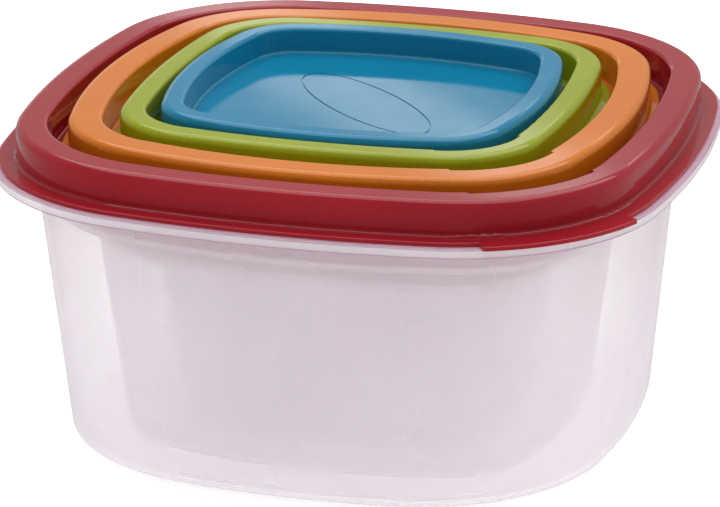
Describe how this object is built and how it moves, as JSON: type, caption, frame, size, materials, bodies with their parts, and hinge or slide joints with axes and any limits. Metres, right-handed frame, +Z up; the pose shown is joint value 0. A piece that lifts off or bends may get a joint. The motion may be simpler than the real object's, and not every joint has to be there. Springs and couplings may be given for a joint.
{
  "type": "snap lid food container",
  "caption": "Nested set of rounded square food storage containers with ring-shaped snap lids, the smaller ones inside the largest.",
  "frame": {"origin": "middle of the largest container's base", "axes": "+Z up, the way the lids lift off; the lids' thumb tabs point along +X -Y"},
  "size_m": [0.2232, 0.2232, 0.1111],
  "materials": {
    "frosted_plastic": "frosted translucent",
    "red_plastic": "satin",
    "orange_plastic": "satin",
    "green_plastic": "satin",
    "blue_plastic": "satin"
  },
  "bodies": {
    "large_container": {"large_container": "frosted_plastic"},
    "medium_container": {"medium_container": "frosted_plastic"},
    "small_container": {"small_container": "frosted_plastic"},
    "mini_container": {"mini_container": "frosted_plastic"},
    "red_lid": {"red_lid": "red_plastic"},
    "orange_lid": {"orange_lid": "orange_plastic"},
    "green_lid": {"green_lid": "green_plastic"},
    "blue_lid": {"blue_lid": "blue_plastic"}
  },
  "joints": [
    {"name": "medium_container_lift", "type": "slide", "parent": "large_container", "child": "medium_container", "axis": [0, 0, 1], "range_m": [0, 0.13]},
    {"name": "small_container_lift", "type": "slide", "parent": "medium_container", "child": "small_container", "axis": [0, 0, 1], "range_m": [0, 0.11]},
    {"name": "mini_container_lift", "type": "slide", "parent": "small_container", "child": "mini_container", "axis": [0, 0, 1], "range_m": [0, 0.08]},
    {"name": "red_lid_lift", "type": "slide", "parent": "mini_container", "child": "red_lid", "axis": [0, 0, 1], "range_m": [0, 0.06]},
    {"name": "orange_lid_lift", "type": "slide", "parent": "red_lid", "child": "orange_lid", "axis": [0, 0, 1], "range_m": [0, 0.05]},
    {"name": "green_lid_lift", "type": "slide", "parent": "orange_lid", "child": "green_lid", "axis": [0, 0, 1], "range_m": [0, 0.05]},
    {"name": "blue_lid_lift", "type": "slide", "parent": "green_lid", "child": "blue_lid", "axis": [0, 0, 1], "range_m": [0, 0.05]}
  ]
}
